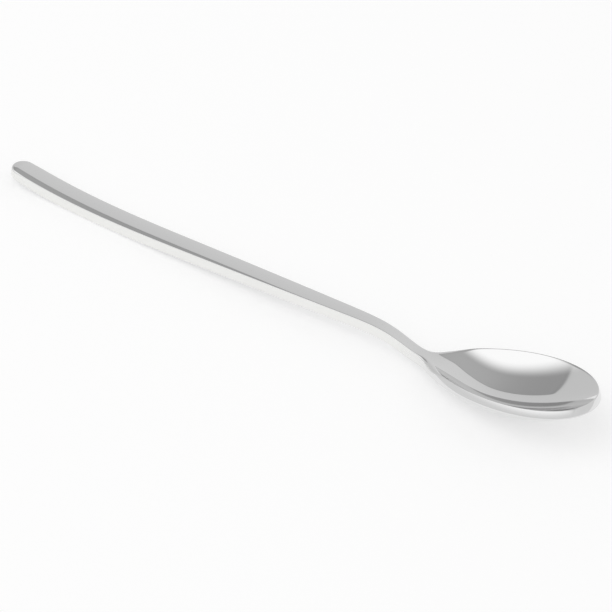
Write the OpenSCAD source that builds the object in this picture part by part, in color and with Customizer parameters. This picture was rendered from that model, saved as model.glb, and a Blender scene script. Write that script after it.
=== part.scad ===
// Iced tea spoon, long-handled, forged from one bar of stainless steel.
// Stations run along +X from the end of the handle (0) to the tip of the bowl.
// The spoon lies on a table at z = 0, on the belly of its bowl and on the underside of its handle.

/* [Overall] */
// Length from the end of the handle to the tip of the bowl
overall_length = 189.8; // [175:0.1:220]

/* [Handle] */
// Width behind the rounded end
handle_width = 7.7; // [6:0.1:10]
// Height of the side walls
handle_thickness = 2.95; // [2.2:0.05:3.6]
// Radius of the crown across the top face
crown_radius = 12; // [9:0.5:40]
// Bulge of the underside across the width
underside_bulge = 0.2; // [0.1:0.05:0.4]
// Length of the rounded end, seen from above
end_round = 3.5; // [2.4:0.1:5]
// How far the end turns up from the straight of the handle
end_lift = 4.6; // [2:0.1:7]
// Length over which the end turns up
curl_length = 64.5; // [40:0.5:80]
// Climb of the straight from the table towards the neck, in degrees
handle_pitch = 3.3; // [2:0.1:5]
// How late the handle narrows on its way to the neck
taper_power = 2.3; // [1:0.1:3]
// Radius of the crisp edge between the top face and the side walls
crease_radius = 0.25; // [0.15:0.05:0.4]
// Radius of that edge round the end
end_soft_radius = 0.9; // [0.5:0.05:1.1]
// Length over which the edge is soft at the end
end_soft_length = 9; // [6:0.5:14]

/* [Neck] */
// Width at the narrowest place
neck_width = 3.45; // [3:0.05:4.6]
// Extra roundness under the neck
neck_bulge = 0.5; // [0.2:0.05:1.2]
// From the narrowest place to the shoulders of the bowl
neck_to_shoulders = 3; // [1:0.1:6]
// Length of the drop from the handle to the bowl
drop_length = 43; // [34:0.1:50]
// End of the drop, past the shoulders
drop_past_shoulders = 2; // [0:0.1:6]
// How late the drop is steepest, where 1 is half way
drop_power = 3.1; // [2:0.1:4]
// Start of the thinning from handle to rim, before the shoulders
thin_to_shoulders = 15; // [11:0.1:20]
// End of the thinning, past the shoulders
thin_past_shoulders = 12; // [8:0.1:16]
// Place where the crisp edge starts to soften, before the shoulders
soften_to_shoulders = 4; // [1:0.1:8]
// Length over which it softens
soften_length = 7; // [4:0.5:10]
// Radius of the soft edge on the shoulders
shoulder_radius = 1.3; // [0.6:0.05:1.6]

/* [Bowl] */
// Length from the shoulders to the tip
bowl_length = 48.8; // [46:0.1:52]
// Width across the outside of the rim
bowl_width = 29.8; // [24:0.1:34]
// Depth of the hollow below its rim
bowl_depth = 7.8; // [6:0.1:10]
// Deepest place, from the tip
deepest_from_tip = 25.3; // [22:0.1:28]
// Place where the hollow starts to sink into the neck, before the shoulders
hollow_to_shoulders = 2; // [0:0.1:5]
// Width of the rim's outer face, which leans out below the edge
rim_face = 2.5; // [1.4:0.1:3]
// Lean of that face away from upright, in degrees
rim_face_lean = 28; // [15:1:45]
// Radius of the rim's two edges
rim_radius = 0.6; // [0.3:0.05:0.8]
// Place where the soft edge has become the rim's, past the shoulders
rim_past_shoulders = 11; // [9:0.1:15]
// Length over which it does so
rim_blend = 8; // [3:0.5:10]
// Thickness of the wall at the deepest place
floor_thickness = 1.8; // [1:0.05:2.4]
// Slope of the rim above the table at the deepest place, in degrees
rim_pitch = 11.1; // [8:0.1:16]
// Fall of the rim, away from that slope, at the tip
rim_arch = 0.74; // [0:0.01:1.5]
// Fullness of the hollow's cross-section, where 2 is a parabola
section_power = 2; // [2:0.1:3]
// Fullness of the belly's cross-section
belly_power = 2.2; // [2:0.1:3]

/* [Facets] */
// Steps across each half of a face
face_steps = 7; // [4:1:10]
// Steps round each edge
edge_steps = 3; // [2:1:4]
// Rings round the end of the handle and round the tip of the bowl
round_rings = 10; // [6:1:14]
// Spacing of the rings along the handle
handle_ring_gap = 4; // [3:0.5:8]
// Spacing of the rings along the neck and the bowl
bowl_ring_gap = 1.3; // [1:0.1:3]

/* [Hidden] */
steel = [0.76, 0.76, 0.75];

// Reach of the rim's leaning face outward and down, and how far the rounded rim then stands out
rim_lean = rim_face * sin(rim_face_lean);
rim_drop = rim_face * cos(rim_face_lean);
rim_reach = rim_lean - rim_radius * sin(rim_face_lean) / (1 + sin(rim_face_lean));

// Stations, from the end of the handle
shoulder_at = overall_length - bowl_length;
neck_at = shoulder_at - neck_to_shoulders;
drop_end = shoulder_at + drop_past_shoulders;
drop_start = drop_end - drop_length;
thin_start = shoulder_at - thin_to_shoulders;
thin_end = shoulder_at + thin_past_shoulders;
soften_at = shoulder_at - soften_to_shoulders;
rim_at = shoulder_at + rim_past_shoulders;
hollow_start = shoulder_at - hollow_to_shoulders;
deepest_at = overall_length - deepest_from_tip;
inner_tip = overall_length - rim_reach;

// The handle ends where its sides start to thin, and the bowl starts at the narrowest place
handle_joint = thin_start;
bowl_joint = neck_at;

// Shape of the bowl's outline: how sharply it leaves the neck, and how it closes at the tip
shoulder_power = 0.675;
tip_power = 1.4;
// Sharpness of the fillet between neck and shoulder
fillet_power = 2.7;
// Length over which the handle's taper levels out at the neck
taper_blend = 2;
// Length over which the bowl's outline starts to leave the neck
shoulder_blend = 1.5;
// Share of the way to the middle line that a soft edge may take at a narrow place
edge_share = 0.85;
// Shares of a side wall that its upper and its lower edge may take
upper_share = 0.6;
lower_share = 0.35;
// Step for slopes, and distance that the first and last rings keep from the very ends
tiny = 0.005;
// Spacing at which the lowest places are looked for, and number of steps for the widest one
search_gap = 0.25;
outline_steps = 400;
// Share of the way from the tip to the deepest place that has the crowded rings
tip_share = 0.25;

function clamp01(t) = min(max(t, 0), 1);
// Rises from 0 to 1 with no step in slope or curvature at either end
function ease(t) = let (c = clamp01(t)) c * c * c * (c * (6 * c - 15) + 10);
function between(s, from, to) = ease((s - from) / (to - from));
function mix(a, b, t) = a + (b - a) * t;
// The distance where it is positive, and 0 before that, with a smooth start
function ramp(distance, blend) = blend * ln(1 + exp(distance / blend));

// Half width of the crisp edge line, which is the handle's top edge and then the bowl's inner rim
function end_shape(s) = s < end_round ? sqrt(1 - pow(1 - s / end_round, 2)) : 1;
function taper(s) = 1 - ramp(neck_at - s, taper_blend) / neck_at;
function handle_half(s) =
    mix(handle_width, neck_width, pow(clamp01(taper(s)), taper_power)) / 2 * end_shape(s);
function bowl_share(s) = min(ramp(s - shoulder_at, shoulder_blend) / (inner_tip - shoulder_at), 1);
function bowl_outline(share) = pow(share, shoulder_power) * sqrt(1 - pow(share, tip_power));
bowl_outline_peak = max([for (i = [0:outline_steps]) bowl_outline(i / outline_steps)]);
function bowl_half(s) =
    (bowl_width / 2 - rim_reach) * bowl_outline(bowl_share(s)) / bowl_outline_peak;
function neck_fade(s) = sqrt(1 - pow(bowl_share(s), 2));
function edge_half(s) = pow(
    pow(handle_half(s) * neck_fade(s), fillet_power) + pow(bowl_half(s), fillet_power),
    1 / fillet_power);

// Outward direction across the edge line, seen from above
function plan_normal(s) = let (
    step = 0.3 * min(tiny, s, inner_tip - s),
    slope = (edge_half(s + step) - edge_half(s - step)) / (2 * step),
    across = [-slope, 1])
    across / norm(across);

// Hollow of the bowl: it starts flat, and has the same curvature on both sides of its deepest place
hollow_rise = deepest_at - hollow_start;
hollow_fall = inner_tip - deepest_at;
hollow_curve = 6 - pow(hollow_rise / hollow_fall, 2);
function hollow(s) = let (
    t = clamp01((s - hollow_start) / hollow_rise),
    u = clamp01((s - deepest_at) / hollow_fall))
    bowl_depth * (t * t * (hollow_curve + t * (4 - 2 * hollow_curve + t * (hollow_curve - 3))) - u * u);
// Belly below the hollow
function belly(s) = hollow(s) * (bowl_depth + floor_thickness - rim_drop) / bowl_depth;

// Height of the crisp edge line: the lowest place of the handle and of the belly both touch the table
function handle_line(s) =
    tan(handle_pitch) * s + end_lift * pow(max(curl_length - s, 0) / curl_length, 3);
handle_low = min([for (s = [0:search_gap:drop_start]) handle_line(s)]);
function handle_edge(s) = handle_line(s) - handle_low + handle_thickness + underside_bulge;
function rim_line(s) =
    tan(rim_pitch) * (s - deepest_at) - rim_arch * pow((s - deepest_at) / deepest_from_tip, 2);
rim_low = min([for (s = [drop_end:search_gap:inner_tip]) rim_line(s) - rim_drop - belly(s)]);
function dropping(s) = ease(pow(clamp01((s - drop_start) / (drop_end - drop_start)), drop_power));
function edge_height(s) = mix(handle_edge(s), rim_line(s) - rim_low, dropping(s));

// Side wall of the handle, which thins and leans out to become the face of the rim
function thinning(s) = between(s, thin_start, thin_end);
function side_drop(s) = mix(handle_thickness, rim_drop, thinning(s));
function side_lean(s) = rim_lean * thinning(s);
// Rises and falls again over the neck
function over_neck(s) = between(s, thin_start, neck_at) * (1 - between(s, neck_at, drop_end));
function bulge(s) =
    underside_bulge * (1 - thinning(s)) * clamp01(2 * edge_half(s) / handle_width)
    + neck_bulge * over_neck(s);

// Crown of the top face, an arc of constant radius that dies out where the hollow starts
function crown(s) = pow(edge_half(s), 2) / (2 * crown_radius) * (1 - between(s, thin_start, neck_at));

// Radius of the upper edge: soft round the end, crisp along the handle, soft on the shoulders
function end_radius(s) = mix(end_soft_radius, crease_radius, ease(s / end_soft_length));
function shoulder_edge(s) =
    mix(end_radius(s), shoulder_radius, between(s, soften_at, soften_at + soften_length));
function upper_radius(s) = mix(shoulder_edge(s), rim_radius, between(s, rim_at - rim_blend, rim_at));
// Radius of the lower edge, which stays crisp on the shoulders
function lower_radius(s) = mix(end_radius(s), rim_radius, between(s, soften_at, rim_at));

function arc_point(a, corner, b, t) = a * (1 - t) * (1 - t) + corner * 2 * t * (1 - t) + b * t * t;

// Half of a cross-section, from the middle of the top face round one edge to the middle underneath
function half_ring(s) = let (
    w = edge_half(s),
    z = edge_height(s),
    n = plan_normal(s),
    r = min(upper_radius(s), edge_share * w / n.y),
    low_r = min(lower_radius(s), edge_share * w / n.y),
    lean = side_lean(s),
    low_w = w + lean * n.y,
    low_z = z - side_drop(s),
    rise = crown(s),
    sink = hollow(s),
    sag = belly(s) + bulge(s),
    top_edge = w - r * n.y,
    low_edge = low_w - low_r * n.y,
    top_x = s - r * n.x,
    low_x = s + (lean - low_r) * n.x,
    top_z = function (t) z + rise * (1 - t * t) - sink * (1 - pow(t, section_power)),
    upper = function (y) [top_x, y, top_z(y / w)],
    lower = function (y) [low_x, y, low_z - sag * (1 - pow(y / low_w, belly_power))],
    upper_corner = [s, w, z],
    lower_corner = [s + lean * n.x, low_w, low_z],
    height = norm(lower_corner - upper_corner),
    wall_top = mix(upper_corner, lower_corner, min(r / height, upper_share)),
    wall_low = mix(lower_corner, upper_corner, min(low_r / height, lower_share)))
    concat(
        [for (i = [0:face_steps]) upper(top_edge * i / face_steps)],
        [for (i = [1:edge_steps]) arc_point(upper(top_edge), upper_corner, wall_top, i / edge_steps)],
        [for (i = [edge_steps:-1:1]) arc_point(lower(low_edge), lower_corner, wall_low, i / edge_steps)],
        [for (i = [face_steps:-1:0]) lower(low_edge * i / face_steps)]);

half_last = 2 * (face_steps + edge_steps) + 1;
ring_size = 2 * half_last;
function whole_ring(s) = let (half = half_ring(s)) concat(
    half,
    [for (i = [half_last - 1:-1:1]) [half[i].x, -half[i].y, half[i].z]]);

// Points of a rounded end, where both sides of a cross-section close up on the middle plane
seam_size = 2 * edge_steps + 2;
function seam(s) = let (half = half_ring(s))
    [for (i = [face_steps:half_last - face_steps]) [half[i].x, 0, half[i].z]];
function fold(i) = min(max(min(i, ring_size - i) - face_steps, 0), seam_size - 1);

// Solid through cross-sections; each end is closed by a flat strip of facets or by a seam
module loft(stations, seam_start = false, seam_end = false) {
    last = len(stations) - 1;
    folded = function (k) (k == 0 && seam_start) || (k == last && seam_end);
    points = [for (k = [0:last]) each folded(k) ? seam(stations[k]) : whole_ring(stations[k])];
    base = function (k) k == 0 ? 0 : (seam_start ? seam_size : ring_size) + (k - 1) * ring_size;
    at = function (k, i) let (j = i % ring_size) base(k) + (folded(k) ? fold(j) : j);
    wall = [for (k = [0:last - 1], i = [0:ring_size - 1]) each [
        [at(k, i), at(k, i + 1), at(k + 1, i + 1)],
        [at(k, i), at(k + 1, i + 1), at(k + 1, i)]]];
    strip = [for (i = [0:(half_last - 1) / 2 - 1]) [i, i + 1, half_last - i - 1, half_last - i]];
    other = function (i) (ring_size - i) % ring_size;
    cap = [for (q = strip) each [
        [q[0], q[3], q[2]], [q[0], q[2], q[1]],
        [other(q[0]), other(q[2]), other(q[3])], [other(q[0]), other(q[1]), other(q[2])]]];
    start_cap = seam_start ? [] : cap;
    end_cap = seam_end ? [] : [for (t = cap) [for (i = [2, 1, 0]) t[i] + base(last)]];
    // A facet that a seam has closed up is left out
    open_wall = [for (t = wall) if (t[0] != t[1] && t[1] != t[2] && t[2] != t[0]) t];
    translate([-overall_length / 2, 0, 0])
        polyhedron(points, concat(open_wall, start_cap, end_cap), convexity = 6);
}

// Evenly spaced stations, and distances that crowd together towards a rounded end
function even(from, to, gap) = let (n = ceil((to - from) / gap)) [for (i = [0:n]) mix(from, to, i / n)];
function crowded(reach) = [for (i = [1:round_rings]) reach * (1 - cos(90 * i / round_rings))];

// Long handle with a crowned top, upright sides and a turned-up round end
module handle() {
    straight = even(end_round + handle_ring_gap / 4, handle_joint, handle_ring_gap);
    color(steel)
        loft(concat(tiny, crowded(end_round), straight), seam_start = true);
}

// Drop from the handle to the bowl
module neck() {
    color(steel)
        loft(even(handle_joint, bowl_joint, bowl_ring_gap));
}

// Oval bowl, with the shoulders that it grows out of
module bowl() {
    reach = tip_share * deepest_from_tip;
    distances = concat(tiny, crowded(reach));
    tip = [for (i = [round_rings:-1:0]) inner_tip - distances[i]];
    flank = even(bowl_joint, inner_tip - reach - bowl_ring_gap, bowl_ring_gap);
    color(steel)
        loft(concat(flank, tip), seam_end = true);
}

handle();
neck();
bowl();
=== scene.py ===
"""Iced tea spoon: its polished steel skin, and the plain studio in which it lies."""

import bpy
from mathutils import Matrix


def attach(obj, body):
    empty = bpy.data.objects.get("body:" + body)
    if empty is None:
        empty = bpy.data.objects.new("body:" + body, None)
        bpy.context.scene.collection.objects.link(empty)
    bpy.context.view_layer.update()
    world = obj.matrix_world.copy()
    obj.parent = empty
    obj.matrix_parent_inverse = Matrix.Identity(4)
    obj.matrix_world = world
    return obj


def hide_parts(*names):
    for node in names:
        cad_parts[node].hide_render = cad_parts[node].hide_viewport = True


bl_info = {
    "name": "Iced tea spoon",
    "version": (1, 0, 0),
    "blender": (4, 5, 0),
    "location": "View3D > Sidebar > Spoon",
    "description": "Makes the steel handle, neck and bowl of an iced tea spoon, and a studio for it",
    "category": "Object",
}

import math

import bpy
import numpy as np
from bpy.props import FloatProperty, IntProperty, PointerProperty, StringProperty
from mathutils import Matrix, Vector

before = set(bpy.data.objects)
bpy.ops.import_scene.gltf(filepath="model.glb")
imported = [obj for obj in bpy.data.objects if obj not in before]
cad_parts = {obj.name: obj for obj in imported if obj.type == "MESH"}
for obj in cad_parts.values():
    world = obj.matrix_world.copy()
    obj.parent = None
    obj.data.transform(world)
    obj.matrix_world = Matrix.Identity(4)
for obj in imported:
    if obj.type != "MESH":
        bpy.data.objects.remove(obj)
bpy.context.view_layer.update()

MM = 0.001
GROUND_AND_SHEEN = "ground_and_sheen"
# Where most values of a noise texture lie
NOISE_SPAN = (0.3, 0.7)


# Sizes, finishes and the studio, as a user would change them

def length(name, description, default):
    """A property that holds a length in metres."""
    return FloatProperty(name=name, description=description, default=default,
                         subtype="DISTANCE", unit="LENGTH", precision=5)


def angle(name, description, degrees):
    """A property that holds an angle, given in degrees."""
    return FloatProperty(name=name, description=description, default=math.radians(degrees),
                         subtype="ANGLE", unit="ROTATION")


def plain(name, description, default):
    """A property that holds a number without a unit."""
    return FloatProperty(name=name, description=description, default=default)


def colour(name, description, default):
    """A property that holds a colour as an sRGB hex value."""
    return StringProperty(name=name, description=description, default=default)


class SpoonHandle(bpy.types.PropertyGroup):
    """Sizes of the handle."""
    width: length("Width", "Width behind the rounded end", 7.7 * MM)
    thickness: length("Thickness", "Height of the side walls", 2.95 * MM)
    crown_radius: length("Crown radius", "Radius of the crown across the top face", 12 * MM)
    underside_bulge: length("Underside bulge", "Bulge of the underside across the width", 0.2 * MM)
    end_round: length("End round", "Length of the rounded end, seen from above", 3.5 * MM)
    end_lift: length("End lift", "How far the end turns up from the straight", 4.6 * MM)
    curl_length: length("Curl length", "Length over which the end turns up", 64.5 * MM)
    pitch: angle("Pitch", "Climb of the straight towards the neck", 3.3)
    taper_power: plain("Taper", "How late the handle narrows on its way to the neck", 2.3)
    crease_radius: length("Crease radius", "Radius of the crisp edge of the top face", 0.25 * MM)
    end_soft_radius: length("End soft radius", "Radius of that edge round the end", 0.9 * MM)
    end_soft_length: length("End soft length", "Length over which the edge is soft at the end", 9 * MM)


class SpoonNeck(bpy.types.PropertyGroup):
    """Sizes of the neck; its places are measured from the shoulders of the bowl."""
    width: length("Width", "Width at the narrowest place", 3.45 * MM)
    bulge: length("Bulge", "Extra roundness under the neck", 0.5 * MM)
    to_shoulders: length("To shoulders", "From the narrowest place to the shoulders", 3 * MM)
    drop_length: length("Drop length", "Length of the drop from the handle to the bowl", 43 * MM)
    drop_past_shoulders: length("Drop past shoulders", "How far the drop runs on past them", 2 * MM)
    drop_power: plain("Drop power", "How late the drop is steepest", 3.1)
    thin_to_shoulders: length("Thin to shoulders", "From where the wall starts to thin to them", 15 * MM)
    thin_past_shoulders: length("Thin past shoulders", "How far the thinning runs on past them", 12 * MM)
    soften_to_shoulders: length("Soften to shoulders", "From where the edge starts to soften", 4 * MM)
    soften_length: length("Soften length", "Length over which the edge softens", 7 * MM)
    shoulder_radius: length("Shoulder radius", "Radius of the soft edge", 1.3 * MM)


class SpoonBowl(bpy.types.PropertyGroup):
    """Sizes of the bowl."""
    length: length("Length", "Length from the shoulders to the tip", 48.8 * MM)
    width: length("Width", "Width across the outside of the rim", 29.8 * MM)
    depth: length("Depth", "Depth of the hollow below its rim", 7.8 * MM)
    deepest_from_tip: length("Deepest from tip", "From the tip back to the deepest place", 25.3 * MM)
    hollow_to_shoulders: length("Hollow to shoulders", "From the hollow's start to the shoulders", 2 * MM)
    rim_face: length("Rim face", "Width of the rim's leaning face", 2.5 * MM)
    rim_face_lean: angle("Rim face lean", "Lean of that face, away from upright", 28)
    rim_radius: length("Rim radius", "Radius of the rim's lower edge", 0.6 * MM)
    lip_radius: length("Lip radius", "Radius of the rim's upper edge, buffed sharp", 0.2 * MM)
    rim_past_shoulders: length("Rim past shoulders", "From the shoulders to where the lip is crisp", 11 * MM)
    rim_blend: length("Rim blend", "Length over which the lip becomes crisp", 8 * MM)
    floor_thickness: length("Floor thickness", "Thickness of the wall at the deepest place", 1.8 * MM)
    rim_pitch: angle("Rim pitch", "Slope of the rim above the table at the deepest place", 11.1)
    rim_arch: length("Rim arch", "Fall of the rim, away from that slope, at the tip", 0.74 * MM)
    section_power: plain("Section power", "Fullness of the hollow's cross-section, 2 is a parabola", 2.0)
    belly_power: plain("Belly power", "Fullness of the belly's cross-section", 2.2)


class SpoonSteel(bpy.types.PropertyGroup):
    """Finish of the steel, with a painted sheen that makes the side walls paler."""
    buffed: colour("Buffed", "Colour of the buffed faces", "#E4E4E4")
    # Painted sheen: the side walls' paler colour, on top of their grind, lifts them towards the lit floor
    # that they reflect
    ground_and_sheen: colour("Ground", "Colour of the ground side walls", "#F2F2F0")
    buffed_clear: plain("Buffed, clear", "Roughness of the clearest buffed places", 0.045)
    buffed_hazy: plain("Buffed, hazy", "Roughness of the haziest buffed places", 0.085)
    ground_fine: plain("Ground, fine", "Roughness of the finest ground places", 0.28)
    ground_coarse: plain("Ground, coarse", "Roughness of the coarsest ground places", 0.4)
    haze: length("Haze", "Size of the hazy places", 27 * MM)
    ripple: length("Ripple", "Length of the slow waves that forging leaves", 9 * MM)
    ripple_depth: length("Ripple depth", "Height of those waves", 0.004 * MM)
    line: length("Line", "Spacing of the lines that buffing leaves", 0.3 * MM)
    line_stretch: plain("Line stretch", "Length of a buffing line, in spacings", 50)
    line_depth: length("Line depth", "Depth of those lines", 0.0003 * MM)
    grit: length("Grit", "Spacing of the marks that the grinding belt leaves", 0.35 * MM)
    grit_stretch: plain("Grit stretch", "Length of a belt mark, in spacings", 30)
    grit_depth: length("Grit depth", "Depth of those marks", 0.006 * MM)


class SpoonStudio(bpy.types.PropertyGroup):
    """Floor, light and camera."""
    floor: colour("Floor", "Colour of the floor", "#D6D6D6")
    floor_side: length("Floor side", "Length of the floor's sides", 8.0)
    floor_lift: plain("Floor lift", "Light that the camera and the steel see on the floor besides", 0.41)
    wall: colour("Wall", "Colour of the studio's far wall", "#D5D5D5")
    right_wall: colour("Right wall", "Colour of the studio's right wall", "#E2E2E2")
    opening: colour("Opening", "Colour of the unlit opening overhead", "#BCBCBC")
    opening_low: colour("Opening, low", "Colour of that opening towards the far wall", "#A3A3A3")
    border: colour("Border", "Colour of the border round that opening", "#949494")
    screen: colour("Screen", "Colour of the foot of the lit screen on the left", "#E4E4E4")
    screen_light: plain("Screen light", "Light of that screen higher up, 1 is white", 1.234)
    lamp_size: length("Lamp size", "Width of the round lamp above", 2.0)
    lamp_power: plain("Lamp power", "Power of that lamp in watts", 4)
    lamp_distance: length("Lamp distance", "Distance from the spoon to that lamp", 1.6)
    azimuth: angle("Azimuth", "Direction in which the camera looks, 0 is along +Y", 28.874)
    elevation: angle("Elevation", "Height of the camera above the floor, as an angle", 33.456)
    roll: angle("Roll", "Turn of the camera about its own axis", 8.121)
    distance: length("Distance", "Distance from the camera to its target", 600 * MM)
    lens: plain("Lens", "Focal length in millimetres", 129.616)
    sensor: plain("Sensor", "Width of the camera's sensor in millimetres", 36)


class SpoonSettings(bpy.types.PropertyGroup):
    """All settings of the spoon."""
    overall_length: length("Overall length", "From the end of the handle to the tip", 189.8 * MM)
    handle: PointerProperty(type=SpoonHandle)
    neck: PointerProperty(type=SpoonNeck)
    bowl: PointerProperty(type=SpoonBowl)
    steel: PointerProperty(type=SpoonSteel)
    studio: PointerProperty(type=SpoonStudio)
    face_steps: IntProperty(name="Face steps", description="Steps across half a face", default=48)
    edge_steps: IntProperty(name="Edge steps", description="Steps round an edge", default=7)
    round_rings: IntProperty(name="Round rings", description="Rings round each end", default=40)
    handle_ring_gap: length("Handle ring gap", "Spacing of the rings along the handle", 0.5 * MM)
    bowl_ring_gap: length("Bowl ring gap", "Spacing of the rings along the neck and the bowl", 0.25 * MM)


# Shape of the spoon

def ease(t):
    """Rises from 0 to 1 with no step in slope or curvature at either end."""
    c = np.clip(t, 0, 1)
    return c ** 3 * (c * (6 * c - 15) + 10)


def between(s, start, end):
    return ease((s - start) / (end - start))


def mix(a, b, t):
    return a + (b - a) * t


class SpoonShape:
    """Skin of the spoon; stations run from the end of the handle (0) to the tip of the bowl."""

    SHOULDER_POWER = 0.675
    TIP_POWER = 1.4
    FILLET_POWER = 2.7
    SHOULDER_BLEND = 1.5 * MM
    TAPER_BLEND = 2 * MM
    # Largest share of a side wall that its upper and its lower edge take up
    UPPER_SHARE = 0.6
    LOWER_SHARE = 0.35
    # Share of the bowl's front half that gets the close rings of the tip
    TIP_SHARE = 0.25
    SEARCH_STEPS = 400
    TINY = 0.005 * MM
    # Share of the way to an end of the spoon that a slope is measured over
    STEP_SHARE = 0.3

    def __init__(self, sizes):
        self.sizes = sizes
        self.handle, self.neck, self.bowl = sizes.handle, sizes.neck, sizes.bowl
        total = sizes.overall_length
        sine, cosine = math.sin(self.bowl.rim_face_lean), math.cos(self.bowl.rim_face_lean)
        self.rim_lean = self.bowl.rim_face * sine
        self.rim_drop = self.bowl.rim_face * cosine
        # How far the rounded rim stands out past its inner edge
        self.rim_reach = self.rim_lean - self.bowl.rim_radius * sine / (1 + sine)
        self.inner_tip = total - self.rim_reach
        self.deepest_at = total - self.bowl.deepest_from_tip
        self.shoulder_at = total - self.bowl.length
        self.hollow_start = self.shoulder_at - self.bowl.hollow_to_shoulders
        self.neck_at = self.shoulder_at - self.neck.to_shoulders
        self.drop_end = self.shoulder_at + self.neck.drop_past_shoulders
        self.drop_start = self.drop_end - self.neck.drop_length
        self.thin_start = self.shoulder_at - self.neck.thin_to_shoulders
        self.thin_end = self.shoulder_at + self.neck.thin_past_shoulders
        self.soften_at = self.shoulder_at - self.neck.soften_to_shoulders
        self.rim_at = self.shoulder_at + self.bowl.rim_past_shoulders
        self.handle_joint = self.thin_start
        self.bowl_joint = self.neck_at
        self.outline_peak = self.bowl_outline(np.linspace(0, 1, self.SEARCH_STEPS + 1)).max()
        along = np.linspace(0, self.drop_start, self.SEARCH_STEPS + 1)
        self.handle_low = self.handle_line(along).min()
        along = np.linspace(self.drop_end, self.inner_tip, self.SEARCH_STEPS + 1)
        self.rim_low = (self.rim_line(along) - self.rim_drop - self.belly(along)).min()

    # Half width of the crisp edge line, the handle's top edge and then the bowl's inner rim
    def handle_half(self, s):
        nose = np.sqrt(np.clip(1 - np.clip(1 - s / self.handle.end_round, 0, 1) ** 2, 0, 1))
        left = self.TAPER_BLEND * np.log1p(np.exp((self.neck_at - s) / self.TAPER_BLEND))
        share = np.clip(1 - left / self.neck_at, 0, 1) ** self.handle.taper_power
        return mix(self.handle.width, self.neck.width, share) / 2 * nose

    def bowl_outline(self, share):
        return share ** self.SHOULDER_POWER * np.sqrt(1 - share ** self.TIP_POWER)

    def bowl_share(self, s):
        ramp = self.SHOULDER_BLEND * np.log1p(np.exp((s - self.shoulder_at) / self.SHOULDER_BLEND))
        return np.minimum(ramp / (self.inner_tip - self.shoulder_at), 1)

    def bowl_half(self, s):
        widest = self.bowl.width / 2 - self.rim_reach
        return widest * self.bowl_outline(self.bowl_share(s)) / self.outline_peak

    def edge_half(self, s):
        fade = np.sqrt(1 - self.bowl_share(s) ** 2)
        power = self.FILLET_POWER
        # In millimetres, so that the powers stay well away from zero
        neck, bowl = self.handle_half(s) * fade / MM, self.bowl_half(s) / MM
        return (neck ** power + bowl ** power) ** (1 / power) * MM

    def small_step(self, s):
        """A step along the spoon that stays between its ends, to measure slopes with."""
        return self.STEP_SHARE * np.minimum(self.TINY, np.minimum(s, self.inner_tip - s))

    def plan_normal(self, s):
        """Outward normal of the edge line, seen from above."""
        step = self.small_step(s)
        slope = (self.edge_half(s + step) - self.edge_half(s - step)) / (2 * step)
        size = np.sqrt(1 + slope * slope)
        return -slope / size, 1 / size

    # Hollow of the bowl and belly below it
    def hollow(self, s):
        rise, fall = self.deepest_at - self.hollow_start, self.inner_tip - self.deepest_at
        t = np.clip((s - self.hollow_start) / rise, 0, 1)
        u = np.clip((s - self.deepest_at) / fall, 0, 1)
        # Starts flat, and has the same curvature on both sides of the deepest place
        start = 6 - (rise / fall) ** 2
        return self.bowl.depth * (t * t * (start + t * (4 - 2 * start + t * (start - 3))) - u * u)

    def belly(self, s):
        depth = self.bowl.depth
        return self.hollow(s) * (depth + self.bowl.floor_thickness - self.rim_drop) / depth

    # Height of the edge line; the handle and the belly both touch the table
    def handle_line(self, s):
        curl = np.clip(self.handle.curl_length - s, 0, None) / self.handle.curl_length
        return math.tan(self.handle.pitch) * s + self.handle.end_lift * curl ** 3

    def rim_line(self, s):
        arch = self.bowl.rim_arch * ((s - self.deepest_at) / self.bowl.deepest_from_tip) ** 2
        return math.tan(self.bowl.rim_pitch) * (s - self.deepest_at) - arch

    def edge_height(self, s):
        rest = self.handle.thickness + self.handle.underside_bulge - self.handle_low
        share = np.clip((s - self.drop_start) / (self.drop_end - self.drop_start), 0, 1)
        drop = ease(share ** self.neck.drop_power)
        return mix(self.handle_line(s) + rest, self.rim_line(s) - self.rim_low, drop)

    # Side wall of the handle, which thins and leans out to become the face of the rim
    def thinning(self, s):
        return between(s, self.thin_start, self.thin_end)

    def over_neck(self, s):
        rise = between(s, self.thin_start, self.neck_at)
        return rise * (1 - between(s, self.neck_at, self.drop_end))

    def bulge(self, s):
        flat = self.handle.underside_bulge * (1 - self.thinning(s))
        narrow = np.clip(2 * self.edge_half(s) / self.handle.width, 0, 1)
        return flat * narrow + self.neck.bulge * self.over_neck(s)

    def crown(self, s):
        fade = 1 - between(s, self.thin_start, self.neck_at)
        return self.edge_half(s) ** 2 / (2 * self.handle.crown_radius) * fade

    # Radius of the upper edge, soft round the end and on the shoulders, and of the lower one
    def end_radius(self, s):
        soft = 1 - ease(s / self.handle.end_soft_length)
        return mix(self.handle.crease_radius, self.handle.end_soft_radius, soft)

    def upper_radius(self, s):
        softening = between(s, self.soften_at, self.soften_at + self.neck.soften_length)
        shoulder = mix(self.end_radius(s), self.neck.shoulder_radius, softening)
        sharpening = between(s, self.rim_at - self.bowl.rim_blend, self.rim_at)
        return mix(shoulder, self.bowl.lip_radius, sharpening)

    def lower_radius(self, s):
        return mix(self.end_radius(s), self.bowl.rim_radius, between(s, self.soften_at, self.rim_at))

    def half_rings(self, s):
        """Half cross-sections, from the middle of the top round one edge to the middle below."""
        s = s[:, None]
        w, z = self.edge_half(s), self.edge_height(s)
        r, low_r = self.upper_radius(s), self.lower_radius(s)
        nx, ny = self.plan_normal(s)
        lean = self.rim_lean * self.thinning(s)
        drop = mix(self.handle.thickness, self.rim_drop, self.thinning(s))
        rise, sink, sag = self.crown(s), self.hollow(s), self.belly(s) + self.bulge(s)
        low_w, low_z = w + lean * ny, z - drop

        def upper(share):
            y = (w - r * ny) * share
            height = z + rise * (1 - (y / w) ** 2) - sink * (1 - (y / w) ** self.bowl.section_power)
            return np.stack([s - r * nx + 0 * y, y, height], -1)

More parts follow.
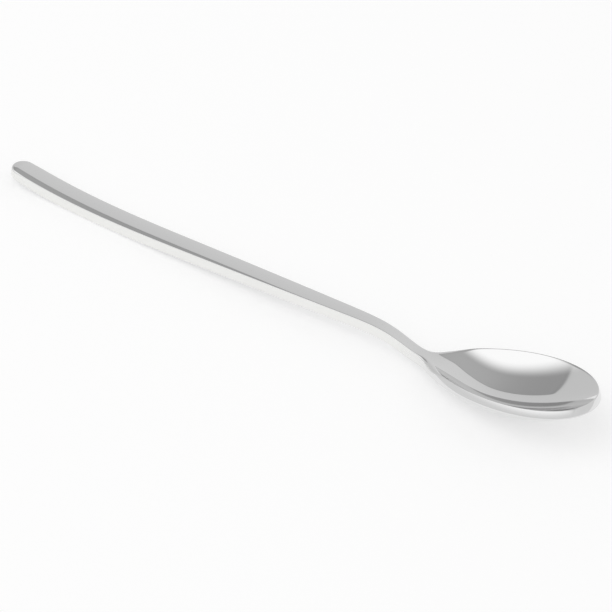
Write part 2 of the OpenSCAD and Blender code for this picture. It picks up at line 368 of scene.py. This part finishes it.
        def lower(share):
            y = (low_w - low_r * ny) * share
            height = low_z - sag * (1 - (y / low_w) ** self.bowl.belly_power)
            return np.stack([s + (lean - low_r) * nx + 0 * y, y, height], -1)

        def arc(start, corner, end, t):
            return start * (1 - t) ** 2 + corner * 2 * t * (1 - t) + end * t * t

        across = np.linspace(0, 1, self.sizes.face_steps + 1)[None, :]
        turn = np.linspace(0, 1, self.sizes.edge_steps + 1)[None, 1:, None]
        one = np.ones((1, 1))
        corner = np.stack([s, w, z], -1)
        low_corner = np.stack([s + lean * nx, low_w, low_z], -1)
        down = low_corner - corner
        height = np.linalg.norm(down, axis=-1, keepdims=True)
        wall_top = corner + down * np.minimum(r[..., None] / height, self.UPPER_SHARE)
        wall_low = low_corner - down * np.minimum(low_r[..., None] / height, self.LOWER_SHARE)
        return np.concatenate([
            upper(across),
            arc(upper(one), corner, wall_top, turn),
            arc(lower(one), low_corner, wall_low, turn)[:, ::-1],
            lower(across)[:, ::-1]], axis=1)

    def rings(self, s):
        """Whole cross-sections, in the spoon's frame."""
        half = self.half_rings(s)
        other = half[:, -2:0:-1] * (1, -1, 1)
        ring = np.concatenate([half, other], axis=1)
        ring[..., 0] -= self.sizes.overall_length / 2
        return ring

    def ground_and_sheen(self, s):
        """Share of the grinding belt's marks and of the side walls' painted sheen at the points of the rings,
        1 on the handle's side walls.
        """
        steps, edge = self.sizes.face_steps, self.sizes.edge_steps
        half = 2 * (steps + edge) + 1
        point = np.arange(2 * half)
        from_wall = abs(np.minimum(point, 2 * half - point) - half / 2)
        # Whole on the wall's two lines of points, and gone half way round its edges
        wall = np.clip((edge / 2 - from_wall) / (edge / 2 - 0.5), 0, 1)
        return wall * (1 - self.thinning(s))[:, None]

    def normals(self, s):
        """Normals of the skin at the points of the rings."""
        step = self.small_step(s)
        along = self.rings(s + step) - self.rings(s - step)
        ring = self.rings(s)
        ahead, behind = np.roll(ring, -1, axis=1) - ring, ring - np.roll(ring, 1, axis=1)
        far = np.linalg.norm(ahead, axis=-1, keepdims=True)
        near = np.linalg.norm(behind, axis=-1, keepdims=True)
        around = ahead * near / far + behind * far / near
        normal = np.cross(along, around)
        return normal / np.linalg.norm(normal, axis=-1, keepdims=True)


def even(start, end, gap):
    return np.linspace(start, end, math.ceil((end - start) / gap) + 1)


def loft(name, shape, stations, seam=None):
    """A closed piece of the skin through cross-sections, with a flat strip at each end.

    At a rounded end (seam 0 is the first, -1 the last) both sides meet on the middle plane instead.
    """
    rings, normals = shape.rings(stations), shape.normals(stations)
    count, size = rings.shape[:2]
    half = size // 2
    index = np.arange(count * size).reshape(count, size)
    if seam is not None:
        steps = shape.sizes.face_steps
        across = np.arange(size)
        index[seam] = index[seam, np.clip(np.minimum(across, size - across), steps, half - steps)]
        rings[seam, :, 1] = 0
        normals[seam, :, 1] = 0
    after = np.roll(index, -1, axis=1)
    wall = np.stack([index[:-1], index[1:], after[1:], after[:-1]], -1).reshape(-1, 4)
    top = np.arange(half // 2)
    strip = np.stack([top, top + 1, half - top - 1, half - top], -1)
    cap = np.concatenate([strip, (size - strip[:, ::-1]) % size])
    flat = {0: cap, -1: cap[:, ::-1] + (count - 1) * size}
    # The skin's own normals run on from piece to piece, so the divisions don't show
    faces, corners = [], []
    for quad in wall.tolist():
        face = list(dict.fromkeys(quad))
        if len(face) > 2:
            faces.append(face)
            corners += [normals[v // size, v % size] for v in face]
    for end, outward in ((0, (-1, 0, 0)), (-1, (1, 0, 0))):
        if end != seam:
            faces += flat[end].tolist()
            corners += [outward] * flat[end].size
    used = np.unique(np.concatenate(faces))
    place = dict(zip(used.tolist(), range(len(used))))
    mesh = bpy.data.meshes.new(name)
    points = rings.reshape(-1, 3)[used]
    mesh.from_pydata(points.tolist(), [], [[place[v] for v in face] for face in faces])
    mesh.update()
    mesh.normals_split_custom_set(np.array(corners).tolist())
    ground_and_sheen = mesh.attributes.new(GROUND_AND_SHEEN, "FLOAT", "POINT")
    ground_and_sheen.data.foreach_set("value", shape.ground_and_sheen(stations).ravel()[used])
    piece = bpy.data.objects.new(name, mesh)
    bpy.context.scene.collection.objects.link(piece)
    return piece


def finish_piece(piece, node):
    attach(piece, "root")
    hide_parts(node)


# Materials

def linear(hex_colour):
    """Turns an sRGB hex value to linear red, green, blue and alpha."""
    parts = [int(hex_colour[i:i + 2], 16) / 255 for i in (1, 3, 5)]
    return tuple(p / 12.92 if p <= 0.04045 else ((p + 0.055) / 1.055) ** 2.4 for p in parts) + (1,)


def add_node(tree, kind, sockets=None, **settings):
    """Adds a node with its settings, and sets or links its sockets."""
    node = tree.nodes.new(kind)
    for name, value in settings.items():
        setattr(node, name, value)
    for socket, value in (sockets or {}).items():
        if isinstance(value, bpy.types.NodeSocket):
            tree.links.new(value, node.inputs[socket])
        else:
            node.inputs[socket].default_value = value
    return node


def buffed_stainless_steel(steel):
    """Stainless steel, forged and mirror buffed, with side walls as they came off the grinding belt."""
    # Clear reflections that waver a little, with faint lines along the spoon where the wheel ran;
    # the side walls are satin with coarser lines, and their paler colour is a painted sheen
    material = bpy.data.materials.new("stainless_steel_mirror_buffed")
    material.use_nodes = True
    tree = material.node_tree
    tree.nodes.clear()
    place = add_node(tree, "ShaderNodeTexCoord").outputs["Object"]
    ground_and_sheen = add_node(tree, "ShaderNodeAttribute", attribute_name=GROUND_AND_SHEEN).outputs["Fac"]
    # Uneven marks, some of them drawn out along the spoon
    marks = {}
    for name, spacing, stretch, detail in (("haze", steel.haze, 1, 4),
                                           ("ripple", steel.ripple, 1, 1),
                                           ("line", steel.line, steel.line_stretch, 3),
                                           ("grit", steel.grit, steel.grit_stretch, 2)):
        drawn = add_node(tree, "ShaderNodeMapping", {"Vector": place, "Scale": (1 / stretch, 1, 1)})
        marks[name] = add_node(tree, "ShaderNodeTexNoise", {
            "Vector": drawn.outputs[0], "Scale": 1 / spacing, "Detail": detail}).outputs["Fac"]
    low, high = NOISE_SPAN
    buffed, satin = [
        add_node(tree, "ShaderNodeMapRange", {
            "Value": marks[name], "From Min": low, "From Max": high, "To Min": fine, "To Max": coarse})
        for name, fine, coarse in (("haze", steel.buffed_clear, steel.buffed_hazy),
                                   ("grit", steel.ground_fine, steel.ground_coarse))]
    # Painted sheen: the side walls get the paler colour, which brightens their reflection of the lit floor
    tint_with_painted_sheen = add_node(tree, "ShaderNodeMix", {
        "Factor": ground_and_sheen, 6: linear(steel.buffed), 7: linear(steel.ground_and_sheen)}, data_type="RGBA")
    rough = add_node(tree, "ShaderNodeMix", {
        "Factor": ground_and_sheen, 2: buffed.outputs[0], 3: satin.outputs[0]}, data_type="FLOAT")
    waves = add_node(tree, "ShaderNodeBump", {
        "Height": marks["ripple"], "Strength": 1.0, "Distance": steel.ripple_depth})
    lines = add_node(tree, "ShaderNodeBump", {
        "Height": marks["line"], "Strength": 1.0, "Distance": steel.line_depth,
        "Normal": waves.outputs["Normal"]})
    belt = add_node(tree, "ShaderNodeBump", {
        "Height": marks["grit"], "Strength": ground_and_sheen, "Distance": steel.grit_depth,
        "Normal": lines.outputs["Normal"]})
    shader = add_node(tree, "ShaderNodeBsdfPrincipled", {
        "Base Color": tint_with_painted_sheen.outputs[2], "Metallic": 1.0, "Roughness": rough.outputs[0],
        "Normal": belt.outputs["Normal"]})
    add_node(tree, "ShaderNodeOutputMaterial", {"Surface": shader.outputs[0]})
    return material


def matt_white_paper(studio):
    """Paper sweep under the spoon."""
    # An even white with no grain at this distance, which keeps a soft shadow
    material = bpy.data.materials.new("paper_sweep_matt_white")
    material.use_nodes = True
    tree = material.node_tree
    tree.nodes.clear()
    path = add_node(tree, "ShaderNodeLightPath").outputs
    seen = path["Is Camera Ray"]
    for ray in ("Is Glossy Ray", "Is Transmission Ray"):
        seen = add_node(tree, "ShaderNodeMath", {0: seen, 1: path[ray]}, operation="MAXIMUM").outputs[0]
    lift = add_node(tree, "ShaderNodeMath", {0: seen, 1: studio.floor_lift}, operation="MULTIPLY")
    glow = add_node(tree, "ShaderNodeEmission", {"Color": (1, 1, 1, 1), "Strength": lift.outputs[0]})
    paper = add_node(tree, "ShaderNodeBsdfDiffuse", {"Color": linear(studio.floor)})
    both = add_node(tree, "ShaderNodeAddShader", {0: glow.outputs[0], 1: paper.outputs[0]})
    add_node(tree, "ShaderNodeOutputMaterial", {"Surface": both.outputs[0]})
    return material


# Operators

class SPOON_OT_handle(bpy.types.Operator):
    """Make the long handle with its crowned top and its turned-up round end"""
    bl_idname = "spoon.make_handle"
    bl_label = "Handle"

    def execute(self, context):
        sizes = context.scene.spoon
        shape = SpoonShape(sizes)
        turn = np.linspace(0, math.pi / 2, sizes.round_rings + 1)[1:]
        nose = sizes.handle.end_round * (1 - np.cos(turn))
        nose = nose[nose > 2 * shape.TINY]
        straight = even(nose[-1], shape.handle_joint, sizes.handle_ring_gap)[1:]
        piece = loft("handle_skin", shape, np.concatenate([[shape.TINY], nose, straight]), seam=0)
        piece.data.materials.append(buffed_stainless_steel(sizes.steel))
        finish_piece(piece, "handle")
        return {"FINISHED"}


class SPOON_OT_neck(bpy.types.Operator):
    """Make the neck, which drops from the handle to the bowl"""
    bl_idname = "spoon.make_neck"
    bl_label = "Neck"

    def execute(self, context):
        sizes = context.scene.spoon
        shape = SpoonShape(sizes)
        stations = even(shape.handle_joint, shape.bowl_joint, sizes.bowl_ring_gap)
        piece = loft("neck_skin", shape, stations)
        piece.data.materials.append(buffed_stainless_steel(sizes.steel))
        finish_piece(piece, "neck")
        return {"FINISHED"}


class SPOON_OT_bowl(bpy.types.Operator):
    """Make the thin-walled oval bowl"""
    bl_idname = "spoon.make_bowl"
    bl_label = "Bowl"

    def execute(self, context):
        sizes = context.scene.spoon
        shape = SpoonShape(sizes)
        reach = sizes.bowl.deepest_from_tip * shape.TIP_SHARE
        turn = np.linspace(math.pi / 2, 0, sizes.round_rings + 1)[:-1]
        tip = shape.inner_tip - reach * (1 - np.cos(turn))
        end = shape.inner_tip - shape.TINY
        tip = tip[tip < end - shape.TINY]
        flank = even(shape.bowl_joint, tip[0], sizes.bowl_ring_gap)[:-1]
        piece = loft("bowl_skin", shape, np.concatenate([flank, tip, [end]]), seam=-1)
        piece.data.materials.append(buffed_stainless_steel(sizes.steel))
        finish_piece(piece, "bowl")
        return {"FINISHED"}


class SPOON_OT_stage(bpy.types.Operator):
    """Make the floor, the light and the camera"""
    bl_idname = "spoon.make_stage"
    bl_label = "Stage"

    TARGET = Vector((7.4 * MM, 0, 2.534 * MM))
    # Places in the studio, in degrees left of where the camera looks and above the floor
    LAMP = (100, 60)
    SKY = {"right": (-90, 0), "zenith": (0, 90), "overhead": (-101, 52.3), "behind": (132.9, 20.7),
           "screen": (150, -25)}
    # How far the sky's direction leans to such a place where one colour starts to change and is changed
    RIGHT_WALL = (-0.55, 0.45)
    OPENING = (0.05, 0.95)
    BORDER = (0, 0.035)
    BORDER_EDGE = (-0.01, 0.01)
    BORDER_CORNER = 0.06
    SCREEN_FOOT = (0.17, 0.67)
    SCREEN_EDGE = (-0.19, 0.17)

    def execute(self, context):
        studio = context.scene.spoon.studio
        context.scene.view_settings.view_transform = "Standard"
        self.make_floor(studio)
        self.make_sky(context, studio)
        self.make_lamp(context, studio)
        self.make_camera(context, studio)
        return {"FINISHED"}

    def make_floor(self, studio):
        half = studio.floor_side / 2
        mesh = bpy.data.meshes.new("floor")
        mesh.from_pydata([(-half, -half, 0), (half, -half, 0), (half, half, 0), (-half, half, 0)],
                         [], [(0, 1, 2, 3)])
        mesh.materials.append(matt_white_paper(studio))
        floor = bpy.data.objects.new("floor", mesh)
        bpy.context.scene.collection.objects.link(floor)

    def toward(self, studio, left, up):
        """Unit vector to a place in the studio."""
        turn, up = math.pi / 2 + studio.azimuth + math.radians(left), math.radians(up)
        return (math.cos(up) * math.cos(turn), math.cos(up) * math.sin(turn), math.sin(up))

    def make_sky(self, context, studio):
        world = bpy.data.worlds.new("studio")
        context.scene.world = world
        world.use_nodes = True
        tree = world.node_tree
        tree.nodes.clear()
        sky = add_node(tree, "ShaderNodeTexCoord").outputs["Generated"]
        lean = {name: add_node(tree, "ShaderNodeVectorMath", {0: sky, 1: self.toward(studio, *place)},
                               operation="DOT_PRODUCT").outputs["Value"]
                for name, place in self.SKY.items()}

        def fade(value, span, before, after):
            """One colour before a span of the value and another after it, with a soft change."""
            share = add_node(tree, "ShaderNodeMapRange", {
                "Value": value, "From Min": span[0], "From Max": span[1]}, interpolation_type="SMOOTHSTEP")
            mixed = add_node(tree, "ShaderNodeMix", {
                "Factor": share.outputs[0], 6: before, 7: after}, data_type="RGBA")
            return mixed.outputs[2]

        # Pale walls, brighter on the right
        walls = fade(lean["right"], self.RIGHT_WALL, linear(studio.wall), linear(studio.right_wall))
        # An unlit opening overhead and behind the camera, with two straight borders
        inside = add_node(tree, "ShaderNodeMath", {
            0: lean["overhead"], 1: lean["behind"], 2: self.BORDER_CORNER}, operation="SMOOTH_MIN").outputs[0]
        dark = fade(lean["overhead"], self.OPENING, linear(studio.opening_low), linear(studio.opening))
        bordered = fade(inside, self.BORDER, linear(studio.border), dark)
        tent = fade(inside, self.BORDER_EDGE, walls, bordered)
        # A lit screen on the left, soft at its top and less bright at its foot
        bright = (studio.screen_light,) * 3 + (1,)
        screen = fade(lean["zenith"], self.SCREEN_FOOT, linear(studio.screen), bright)
        lit = fade(lean["screen"], self.SCREEN_EDGE, tent, screen)
        back = add_node(tree, "ShaderNodeBackground", {"Color": lit})
        add_node(tree, "ShaderNodeOutputWorld", {"Surface": back.outputs[0]})

    def make_lamp(self, context, studio):
        data = bpy.data.lights.new("softbox", "AREA")
        data.shape = "DISK"
        data.size = studio.lamp_size
        data.energy = studio.lamp_power
        lamp = bpy.data.objects.new("softbox", data)
        lamp.location = Vector(self.toward(studio, *self.LAMP)) * studio.lamp_distance
        lamp.rotation_euler = lamp.location.to_track_quat("Z", "Y").to_euler()
        # The steel reflects the studio alone
        lamp.visible_glossy = False
        context.scene.collection.objects.link(lamp)

    def make_camera(self, context, studio):
        a, e, turn = studio.azimuth, studio.elevation, studio.roll
        back = Vector((math.sin(a) * math.cos(e), -math.cos(a) * math.cos(e), math.sin(e)))
        right = Vector((math.cos(a), math.sin(a), 0))
        up = back.cross(right)
        cosine, sine = math.cos(turn), math.sin(turn)
        right, up = right * cosine + up * sine, up * cosine - right * sine
        data = bpy.data.cameras.new("camera")
        data.lens = studio.lens
        data.sensor_width = studio.sensor
        camera = bpy.data.objects.new("camera", data)
        camera.matrix_world = Matrix((right, up, back)).transposed().to_4x4()
        camera.location = self.TARGET + back * studio.distance
        context.scene.collection.objects.link(camera)
        context.scene.camera = camera


class SPOON_PT_panel(bpy.types.Panel):
    """Lists what makes the spoon"""
    bl_label = "Iced tea spoon"
    bl_idname = "SPOON_PT_panel"
    bl_space_type = "VIEW_3D"
    bl_region_type = "UI"
    bl_category = "Spoon"

    def draw(self, context):
        for operator in OPERATORS:
            self.layout.operator(operator.bl_idname)


OPERATORS = (SPOON_OT_handle, SPOON_OT_neck, SPOON_OT_bowl, SPOON_OT_stage)
SETTINGS = (SpoonHandle, SpoonNeck, SpoonBowl, SpoonSteel, SpoonStudio, SpoonSettings)
CLASSES = SETTINGS + OPERATORS + (SPOON_PT_panel,)


def register():
    for cls in CLASSES:
        bpy.utils.register_class(cls)
    bpy.types.Scene.spoon = PointerProperty(type=SpoonSettings)


def unregister():
    del bpy.types.Scene.spoon
    for cls in reversed(CLASSES):
        bpy.utils.unregister_class(cls)


def main():
    register()
    bpy.ops.spoon.make_handle()
    bpy.ops.spoon.make_neck()
    bpy.ops.spoon.make_bowl()
    bpy.ops.spoon.make_stage()


if __name__ == "__main__":
    main()
